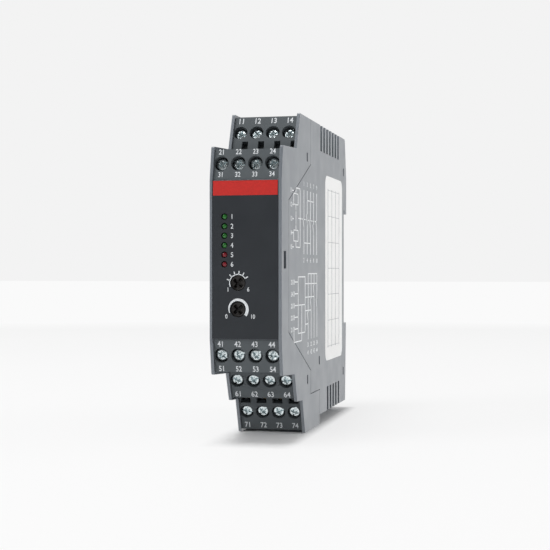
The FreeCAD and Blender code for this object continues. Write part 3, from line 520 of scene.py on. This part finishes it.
def screw_mesh(length):
    """Combination-head clamp screw with its top at z = 0: slot, cross, star nicks and thread."""
    profile = [(0, -0.06 * MM), (HEAD * 0.45, -0.06 * MM), (HEAD * 0.75, -0.14 * MM),
               (HEAD * 0.92, -0.26 * MM), (HEAD, -0.48 * MM), (HEAD, CHAMFER - HEAD_HEIGHT),
               (HEAD - CHAMFER, -HEAD_HEIGHT), (CORE, -HEAD_HEIGHT)]
    height = -HEAD_HEIGHT
    while height > 2 * PITCH - length:
        profile += [(CORE, height - PITCH * 0.3), (THREAD, height - PITCH * 0.6)]
        height -= PITCH
    profile += [(CORE, PITCH / 2 - length), (CORE * 0.7, -length), (0, -length)]
    slot = prism(box_outline(3 * HEAD, 0.46 * MM), -0.95 * MM, box_outline(3 * HEAD, 0.66 * MM), ABOVE)
    cross = driver_cross(HEAD, 1.5 * MM, 1.2 * MM, 0.4 * MM, 0.72 * MM)
    star = driver_cross(HEAD, 0.75 * MM, 0.9 * MM, 0.16 * MM, 0.34 * MM)
    star.transform(EIGHTH_TURN)
    return rounded(carved(lathe(profile), [slot, cross, star]), SCREW_EDGE)


def build_screws():
    patterns = {}
    for tier, turns, top in zip(TIERS, SLOT_TURNS, HEAD_TOPS):
        for number, turn in enumerate(turns, 1):
            node = f"screw_{tier}_{number}"
            place = joint_frame(node)
            tip = ends_of(node, place)[1]
            if top not in patterns:
                patterns[top] = screw_mesh(top - tip)
            mesh = patterns[top].copy()
            mesh.transform(turned_to(place, top, turn))
            dress_node(f"clamp_{node}", node, "zinc", mesh, node)


KNOB, KNOB_THICK = HOLE - 0.1 * MM, 2.2 * MM  # radius and height of an adjuster's disc
KNOB_DISH = 0.12 * MM  # depth of its middle under the rim
SPINDLE = 1.2 * MM
KNOB_EDGE = 0.05 * MM
DIAL_TURNS = [("mode_dial", 6), ("delay_dial", -4)]  # rest angle of each cross in degrees


def knob_mesh(length):
    """Rotary adjuster with its top at z = 0: raised rim, sunk disc and a deep tapered cross."""
    profile = [(0, -KNOB_DISH), (KNOB * 0.80, -KNOB_DISH), (KNOB * 0.86, -0.02 * MM),
               (KNOB * 0.93, 0), (KNOB, -KNOB_DISH), (KNOB, CHAMFER - KNOB_THICK),
               (KNOB - CHAMFER, -KNOB_THICK), (SPINDLE, -KNOB_THICK), (SPINDLE, 2 * CHAMFER - length),
               (SPINDLE * 0.8, -length), (0, -length)]
    cross = driver_cross(KNOB, 1.5 * MM, KNOB * CUT_REACH * 0.75, 0.7 * MM, 1.1 * MM)
    cross.transform(EIGHTH_TURN)
    return rounded(carved(lathe(profile, 64), [cross]), KNOB_EDGE)


def build_knobs():
    for node, turn in DIAL_TURNS:
        place = joint_frame(node)
        top, tip = ends_of(node, place)
        mesh = knob_mesh(top - tip)
        mesh.transform(turned_to(place, top, turn))
        dress_node(f"{node}_knob", node, "adjuster", mesh, node)


def lamp_places(node, count):
    """Centres of a row of lamps on the label, and their radius."""
    low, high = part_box(node)
    radius = (high.x - low.x) / 2
    step = (high.z - low.z - 2 * radius) / (count - 1)
    middle = (low.x + high.x) / 2
    return [Vector((middle, low.y, high.z - radius - step * index)) for index in range(count)], radius


LENS_SINK = 0.3 * MM  # how far a lens lies under the label's face
LENS_DOME = 0.1 * MM  # height of its dome
LENS_TIP = 0.84  # radius of its end as a share of the rod's
LAMPS = [("green_light_pipes", 4, "lens_green"), ("red_light_pipes", 2, "lens_red")]


def lens_profile(radius, length):
    """Outline of a rod with a narrower, domed end; the label's face is at height 0."""
    rim = radius * LENS_TIP
    dome = ((0, 1), (0.5, 0.8), (0.85, 0.3), (1, -1))
    end = [(rim * share, LENS_DOME * rise - LENS_SINK) for share, rise in dome]
    return end + [(rim, -3 * LENS_SINK), (radius, -3.5 * LENS_SINK),
                  (radius, CHAMFER - length), (radius * 0.9, -length), (0, -length)]


def build_lenses():
    """Round rods with a low dome at the label."""
    for node, count, slot in LAMPS:
        low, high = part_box(node)
        places, radius = lamp_places(node, count)
        work = bmesh.new()
        for place in places:
            mesh = lathe(lens_profile(radius, high.y - low.y), 32)
            mesh.shade_smooth()
            mesh.transform(frame_at(place, (0, -1, 0)))
            work.from_mesh(mesh)
        dress_node(f"{slot}_row", node, slot, mesh_of(work, slot))


# ---------------------------------------------------------------- print and labels

LETTER_WEIGHT = 0.012  # how much fatter letters are than the font's, in letter sizes


class Print:
    """Thin raised ink, gathered into one piece."""

    def __init__(self, place, upright=1.0):
        self.work = bmesh.new()
        self.place = place
        self.upright = upright  # how much wider the strokes that go up are
        self.sink = PRINT / 2

    def band(self, left, right, proud=PRINT):
        """A strip between two lines of as many points."""
        rows = []
        for line, height in ((left, -self.sink), (right, -self.sink), (right, proud), (left, proud)):
            rows.append([self.work.verts.new(self.place @ Vector((x, y, height))) for x, y in line])
        for a, b in zip(rows, rows[1:] + rows[:1]):
            for index in range(len(left) - 1):
                self.work.faces.new([a[index], b[index], b[index + 1], a[index + 1]])
        for index, order in ((0, (3, 2, 1, 0)), (len(left) - 1, (0, 1, 2, 3))):
            self.work.faces.new([rows[row][index] for row in order])

    def stroke(self, points, width):
        """Straight strokes of one width through the points."""
        for start, end in zip(points, points[1:]):
            start, end = Vector(start), Vector(end)
            along = (end - start).normalized()
            across = Vector((-along.y, along.x)) * width / 2 * (1 + (self.upright - 1) * abs(along.y))
            start, end = start - along * width / 2, end + along * width / 2
            self.band([start + across, end + across], [start - across, end - across])

    def box(self, low, high, width):
        """The outline of a box."""
        corners = [low, (high[0], low[1]), high, (low[0], high[1]), low]
        self.stroke(corners, width)

    def arc(self, centre, inner, outer, start, end, last_inner=None, last_outer=None, count=40):
        """An arc between two angles in degrees whose edges may run to other radii."""
        near, far = [], []
        last_inner, last_outer = last_inner or inner, last_outer or outer
        for index in range(count + 1):
            share = index / count
            angle = math.radians(start + (end - start) * share)
            aim = Vector((math.cos(angle), math.sin(angle)))
            near.append(Vector(centre) + aim * (inner + (last_inner - inner) * share))
            far.append(Vector(centre) + aim * (outer + (last_outer - outer) * share))
        self.band(near, far)

    def text(self, words, spot, height, narrow=0.84):
        """Words of a height about a spot, narrower or wider than the font has them."""
        curve = bpy.data.curves.new("text", "FONT")
        curve.body = words
        curve.align_x = "CENTER"
        curve.extrude = (self.sink + PRINT) / 2
        curve.offset = LETTER_WEIGHT
        curve.resolution_u = 4
        letters = bpy.data.objects.new("text", curve)
        bpy.context.scene.collection.objects.link(letters)
        mesh = baked(letters)
        bpy.data.objects.remove(letters)
        low = min(vertex.co.y for vertex in mesh.vertices)
        scale = height / (max(vertex.co.y for vertex in mesh.vertices) - low)
        lift = Matrix.Translation((spot[0], spot[1] - height / 2, (PRINT - self.sink) / 2))
        size = Matrix.Diagonal((scale * narrow, scale, 1, 1))
        mesh.transform(self.place @ lift @ size @ Matrix.Translation((0, -low, 0)))
        self.work.from_mesh(mesh)

    def finish(self, name, material):
        bmesh.ops.recalc_face_normals(self.work, faces=self.work.faces)
        add_piece(name, mesh_of(self.work, name), BODY, material)


# Each row of numbers on the tiers: tier, first number, distance up the slope, height.
TIER_ROWS = [
    ("upper_rear", 11, 4.25 * MM, 1.95 * MM),
    ("upper_front", 21, 3.6 * MM, 1.6 * MM),
    ("upper_front", 31, -3.5 * MM, 1.55 * MM),
    ("lower_front", 41, 3.65 * MM, 1.75 * MM),
    ("lower_front", 51, -4.05 * MM, 1.7 * MM),
    ("lower_middle", 61, -4.7 * MM, 1.95 * MM),
    ("lower_rear", 71, -4.7 * MM, 1.9 * MM),
]


def print_tiers():
    for tier, first, up, height in TIER_ROWS:
        place = joint_frame(f"screw_{tier}_1")
        print_row = Print(Matrix.Translation((-place.translation.x, 0, 0)) @ place)
        for column in range(TERMINALS):
            across = JOINTS[f"screw_{tier}_{column + 1}"]["pos_m"][0]
            print_row.text(str(first + column), (across, up), height)
        print_row.finish(f"numbers_{first}", WHITE_INK)


BAND_TALL, BAND_MARGIN = 4.6 * MM, 0.15 * MM
LAMP_NUMBER, LAMP_STEP = 1.5 * MM, 2.4 * MM  # height of a lamp's number and its distance from the lamp
# The mode adjuster's scale is a ring with ticks, and the delay adjuster's swells. Angles are in degrees.
RING, RING_LINE = 2.6 * MM, 0.26 * MM
RING_START, RING_END = 205, 28
TICK, TICK_LINE, TICK_ANGLES = 0.9 * MM, 0.32 * MM, range(162, 31, -26)
SWELL_THIN, SWELL_THICK, SWELL_TAIL = 2.75 * MM, 3.35 * MM, 2.42 * MM
SWELL_START, SWELL_FULL, SWELL_END = 202, 100, -38
DIAL_NUMBER = 1.3 * MM  # height of the numbers beside them
DIAL_NUMBERS = {  # each adjuster's numbers with their places from its middle, in mm
    "mode_dial": [("1", (-3.1, -2.0)), ("6", (3.2, -1.9))],
    "delay_dial": [("0", (-3.6, -2.1)), ("10", (4.6, -2.1))],
}


def print_label():
    """The label's red band, lamp numbers and adjuster scales."""
    low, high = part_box("front_plate")
    place = frame_at((0, low.y, 0), (0, -1, 0))
    left, right = low.x + BAND_MARGIN, high.x - BAND_MARGIN
    bottom, top = high.z - BAND_TALL, high.z - BAND_MARGIN
    band = Print(place)
    band.band([(left, bottom), (right, bottom)], [(left, top), (right, top)])
    band.finish("label_band", RED_INK)

    white = Print(place)
    lamps = [lamp for node, count, _ in LAMPS for lamp in lamp_places(node, count)[0]]
    for number, lamp in enumerate(lamps, 1):
        white.text(str(number), (lamp.x + LAMP_STEP, lamp.z), LAMP_NUMBER)
    mode, delay = (Vector(JOINTS[node]["pos_m"]).xz for node in DIAL_NUMBERS)
    half = RING_LINE / 2
    white.arc(mode, RING - half, RING + half, RING_START, RING_END)
    for angle in TICK_ANGLES:
        aim = Vector((math.cos(math.radians(angle)), math.sin(math.radians(angle))))
        white.stroke([mode + aim * (RING + half), mode + aim * (RING + TICK)], TICK_LINE)
    thin = SWELL_THIN - half
    white.arc(delay, thin, SWELL_THIN + half, SWELL_START, SWELL_FULL, thin, SWELL_THICK)
    white.arc(delay, thin, SWELL_THICK, SWELL_FULL + 0.1, SWELL_END, SWELL_TAIL, SWELL_THICK)
    for middle, numbers in zip((mode, delay), DIAL_NUMBERS.values()):
        for number, step in numbers:
            white.text(number, middle + Vector(step) * MM, DIAL_NUMBER)
    white.finish("label_print", WHITE_INK)


CORNER_STEPS = 8


def rounded_box_lines(low, high, radius):
    """A rounded box as its lower and upper boundary lines, left to right."""
    lines = []
    for side, edge in ((-1, low[1]), (1, high[1])):
        line = []
        for corner, start in ((low[0] + radius, 180), (high[0] - radius, 90)):
            for index in range(CORNER_STEPS + 1):
                angle = math.radians(start - 90 * index / CORNER_STEPS)
                up = edge - side * radius * (1 - math.sin(angle))
                line.append((corner + radius * math.cos(angle), up))
        lines.append(line)
    return lines


def side_frame():
    """Print place on the right side: x towards the rail, y up."""
    return frame_at((SIDE - SIDE_INSET, 0, 0), (1, 0, 0), (0, 1, 0))


def side_spot(back, up):
    """A place on the right side from mm behind the front and above the foot."""
    return (CAD_BOX[0].y + back * MM, up * MM)


LABEL_SPAN = (70.5, 21.0), (104.7, 86.75)  # lower front and upper rear corner, in mm
LABEL_CORNER = 3.2 * MM
RULE_MARGIN = 5 * MM
RULE_COLUMNS, COLUMN_STEP, COLUMN_LINE = 4, 7.5 * MM, 0.9 * MM
RULE_ROWS, ROW_STEP, ROW_LINE = 7, 9.29 * MM, 0.2 * MM


def stick_side_label():
    """White label with rounded corners, ruled for writing on."""
    thick = SIDE_INSET - PRINT
    low, high = side_spot(*LABEL_SPAN[0]), side_spot(*LABEL_SPAN[1])
    label = Print(side_frame())
    label.band(*rounded_box_lines(low, high, LABEL_CORNER), proud=thick)
    label.finish("side_label", PAPER)
    rules = Print(side_frame() @ Matrix.Translation((0, 0, thick)))
    left, bottom, top = low[0] + RULE_MARGIN, low[1] + RULE_MARGIN, high[1] - RULE_MARGIN
    for index in range(RULE_COLUMNS):
        across = left + index * COLUMN_STEP
        rules.stroke([(across, bottom), (across, top)], COLUMN_LINE)
    for index in range(RULE_ROWS):
        up = bottom + index * ROW_STEP
        rules.stroke([(left, up), (across, up)], ROW_LINE)
    rules.finish("side_label_rules", GREY_INK)


LINE = 0.36 * MM  # width of the wiring picture's lines
UPRIGHTS = 1.9  # how much wider its upright lines are
SMALL = 1.5 * MM  # height of its numbers
WIDE = 1.3  # and how far they are stretched
COIL_WIDE, COIL_TALL, COIL_LEAD = 3.4, 1.7, 3.6  # from a coil's middle to its sides, ends and leads' ends
GAP = 1.6  # half the gap of a contact, in mm as all places in the picture


class Picture(Print):
    """Print on the right side, drawn in mm behind the front and above the foot."""

    def __init__(self):
        super().__init__(side_frame(), UPRIGHTS)

    def line(self, *corners):
        self.stroke([side_spot(*corner) for corner in corners], LINE)

    def number(self, number, back, up):
        self.text(str(number), side_spot(back, up), SMALL, WIDE)

    def contact(self, back, low, high, middle):
        """A normally open contact in an upright line."""
        self.line((back, low), (back, middle - GAP), (back - 1.3, middle + GAP * 0.8))
        self.line((back, middle + GAP), (back, high))

    def coil(self, back, up):
        """A relay coil with its two leads."""
        low, high = side_spot(back - COIL_WIDE, up - COIL_TALL), side_spot(back + COIL_WIDE, up + COIL_TALL)
        self.box(low, high, LINE)
        self.line((back, up + COIL_TALL), (back, up + COIL_LEAD))
        self.line((back, up - COIL_TALL), (back, up - COIL_LEAD))


def draw_relays(picture):
    """Two coils in one loop, beside five linked contacts with numbers at their ends."""
    coils, upper, lower = 20.5, 75.5, 64.0
    for up in (upper, lower):
        picture.coil(coils, up)
    picture.line((coils, upper - COIL_LEAD), (coils, lower + COIL_LEAD))
    loop, top, bottom = 27, upper + COIL_LEAD, lower - COIL_LEAD
    picture.line((coils, top), (loop, top), (loop, bottom), (coils, bottom))

    first, step, low, high, row = 33, 5.4, 58.5, 79, 68.5
    for index, shift in enumerate((0, 1.5, 0, -1.5, 0)):
        back = first + step * index
        picture.contact(back, low, high, row + shift)
        picture.number(2 * index + 1, back, high + 2.2)
        picture.number(2 * index + 2, back, low - 2.1)
    picture.line((first, 62), (first + 2 * step, 62))
    picture.line((first + step, 76), (first + 3 * step, 76))

    link, dashes, dash = row + 1.1, 24.5, 1.5
    for index in range(10):
        back = dashes + 2 * dash * index
        picture.line((back, link), (back + dash, link))

    numbers, lead, lead_end = 13.6, 15.4, 17.0
    for index in range(5):
        up = 78 - 4.4 * index
        picture.number(11 + index, numbers, up)
        picture.line((lead, up), (lead_end, up))


def draw_logic(picture):
    """A logic box with its inputs, and the ladder of contacts at its outputs."""
    left, right, low, high = 24, 35, 33, 51
    split, middle = 42, (left + right) / 2
    picture.box(side_spot(left, low), side_spot(right, high), LINE)
    picture.line((left, split), (right, split))
    picture.line((middle, low), (middle, split))

    numbers, pins, pin, leads, first_pin = 14.4, 17.6, 0.5, 18.5, 34.6
    for index in range(5):
        up = first_pin + 3.7 * index
        picture.line((leads, up), (left, up))
        picture.arc(side_spot(pins, up), pin * MM, pin * MM + LINE, 360, 0, count=16)
        picture.number(21 + index, numbers, up)

    ladder, step, foot, top = 40, 5, 30.5, 52
    near_number, far_number = foot - 1.9, foot - 4.5
    for index, above in enumerate((2.4, 2.4, 2.4, -6.7)):
        back = ladder + step * index
        up = 35.5 + 4.4 * index
        picture.line((right, up), (back, up))
        picture.contact(back, foot, top, up + above)
        picture.number(31 + index, back, near_number)
        picture.number(41 + index, back, far_number)
    picture.line((ladder, top), (ladder + 3 * step, top))
    picture.line((pins, first_pin - pin), (pins, foot), (middle, foot), (middle, low))


def print_diagram():
    """A plain wiring picture of the relay's two halves."""
    picture = Picture()
    draw_relays(picture)
    draw_logic(picture)
    picture.finish("side_diagram", SIDE_INK)


def build_part():
    dress_cad_nodes()
    build_mouldings()
    build_screws()
    build_knobs()
    build_spring()
    build_lenses()
    print_tiers()
    print_label()
    stick_side_label()
    print_diagram()


# ---------------------------------------------------------------- stage, light, camera

BACKDROP = rgb("f3f3f3")
FAR_FLOOR = rgb("fafafa")
DIFFUSE_LEVEL = 0.5  # the world's light on matt faces
ROOM_LEVEL = 0.15  # how bright the dark side of the room is in reflections
ROOM_START, ROOM_END = -0.7, 0.3  # between these directions along y, reflections turn from dark to white
NEAR_GLOW = 0.75  # how far the floor has the backdrop's own white near the object
NEAR = 0.004  # distance from the object's footprint over which that glow fades out; under the object it has none, a painted shade around the footprint laid over the real contact shadow
FAR_START, FAR_END = 0.2, 0.9  # distances between which the floor turns into the backdrop
FLOOR_REACH = 6.0


def foot_glow(look):
    """The floor's glow, which fades out next to and under the object: a painted shade around its footprint, over
    the real contact shadow that it keeps dark.
    """
    steps = [("ABSOLUTE", None), ("SUBTRACT", CAD_BOX[1]), ("MAXIMUM", (0, 0, 0)), ("LENGTH", None)]
    spot = look.place
    for operation, value in steps:
        node = look.nodes.new("ShaderNodeVectorMath")
        node.operation = operation
        look.links.new(spot, node.inputs[0])
        if value is not None:
            node.inputs[1].default_value = value
        spot = node.outputs["Value" if operation == "LENGTH" else "Vector"]
    return map_range(look.tree, spot, 0.0, NEAR, high=NEAR_GLOW).outputs["Result"]


def build_stage():
    work = bmesh.new()
    bmesh.ops.create_grid(work, x_segments=8, y_segments=8, size=FLOOR_REACH)
    floor = bpy.data.objects.new("floor", mesh_of(work, "floor"))
    bpy.context.scene.collection.objects.link(floor)
    look = Look("floor_paper")
    nodes, links = look.nodes, look.links
    look.wire("Base Color", look.ramp(look.noise(0.25), rgb("f1f1f1"), rgb("f3f3f3")))
    look.wire("Normal", look.bump(look.noise(2 * MM), 0.01 * MM))
    look.set(Roughness=0.6)
    away = nodes.new("ShaderNodeVectorMath")
    away.operation = "LENGTH"
    links.new(look.place, away.inputs[0])
    far = map_range(look.tree, away.outputs["Value"], FAR_START, FAR_END)
    rays = nodes.new("ShaderNodeLightPath").outputs
    seen, mirrored = rays["Is Camera Ray"], rays["Is Glossy Ray"]
    # camera rays see the glow with its painted shade at the footprint; glossy rays see the floor glowing in full
    near = math_output(look.tree, "MULTIPLY_ADD", seen, foot_glow(look), mirrored)
    glow = nodes.new("ShaderNodeEmission")
    glow.inputs["Color"].default_value = FAR_FLOOR
    mix = nodes.new("ShaderNodeMixShader")
    links.new(math_output(look.tree, "MAXIMUM", far.outputs["Result"], near), mix.inputs["Fac"])
    links.new(look.shader.outputs["BSDF"], mix.inputs[1])
    links.new(glow.outputs["Emission"], mix.inputs[2])
    links.new(mix.outputs["Shader"], nodes["Material Output"].inputs["Surface"])
    floor.data.materials.append(look.material)


def blend(tree, low, high, factor):
    """Node output between two levels, each a number or an output."""
    mix = tree.nodes.new("ShaderNodeMix")
    for name, value in (("A", low), ("B", high)):
        if isinstance(value, float):
            mix.inputs[name].default_value = value
        else:
            tree.links.new(value, mix.inputs[name])
    tree.links.new(factor, mix.inputs["Factor"])
    return mix.outputs["Result"]


def build_world():
    """White for the camera, a room that is darker in front for reflections, and plain light for the rest."""
    world = bpy.data.worlds.new("studio")
    bpy.context.scene.world = world
    world.use_nodes = True
    tree = world.node_tree
    sky = tree.nodes["Background"]
    sky.inputs["Color"].default_value = BACKDROP
    rays = tree.nodes.new("ShaderNodeLightPath").outputs
    parts = tree.nodes.new("ShaderNodeSeparateXYZ")
    tree.links.new(tree.nodes.new("ShaderNodeTexCoord").outputs["Generated"], parts.inputs["Vector"])
    room = map_range(tree, parts.outputs["Y"], ROOM_START, ROOM_END, ROOM_LEVEL)
    room.interpolation_type = "SMOOTHSTEP"
    shiny = blend(tree, DIFFUSE_LEVEL, room.outputs["Result"], rays["Is Glossy Ray"])
    clear = math_output(tree, "MAXIMUM", rays["Is Camera Ray"], rays["Is Transmission Ray"])
    tree.links.new(blend(tree, shiny, 1.0, clear), sky.inputs["Strength"])


def add_lamp(name, place, size, power):
    """A soft square lamp that faces the middle of the object."""
    data = bpy.data.lights.new(name, "AREA")
    data.size = size
    data.energy = power
    lamp = bpy.data.objects.new(name, data)
    bpy.context.scene.collection.objects.link(lamp)
    lamp.location = place
    aim = Vector((0, 0, CAD_BOX[1].z / 2)) - Vector(place)
    lamp.rotation_mode = "QUATERNION"
    lamp.rotation_quaternion = aim.to_track_quat("-Z", "Y")


def build_lights():
    """The lamps: place and size in metres, power in watts."""
    add_lamp("right_softbox", (1.6, 0.7, 0.35), 1.1, 10.5)
    add_lamp("front_fill", (-1.2, -0.95, 0.8), 0.8, 9.5)
    add_lamp("top_softbox", (-0.2, -0.3, 1.4), 0.6, 10)


CAMERA_PLACE = (0.0940, -0.42775, 0.0528)
CAMERA_YAW, CAMERA_PITCH = 12.9, 0.17  # to the left and down, in degrees
CAMERA_LENS, CAMERA_SENSOR = 83.1, 36  # in millimetres


def build_camera():
    data = bpy.data.cameras.new("camera")
    data.lens = CAMERA_LENS
    data.sensor_width = CAMERA_SENSOR
    data.clip_start = 0.01
    data.clip_end = 50
    camera = bpy.data.objects.new("camera", data)
    bpy.context.scene.collection.objects.link(camera)
    camera.location = CAMERA_PLACE
    camera.rotation_euler = (math.radians(90 - CAMERA_PITCH), 0, math.radians(CAMERA_YAW))
    bpy.context.scene.camera = camera


build_part()
build_stage()
build_world()
build_lights()
build_camera()
bpy.context.scene.view_settings.view_transform = "Standard"
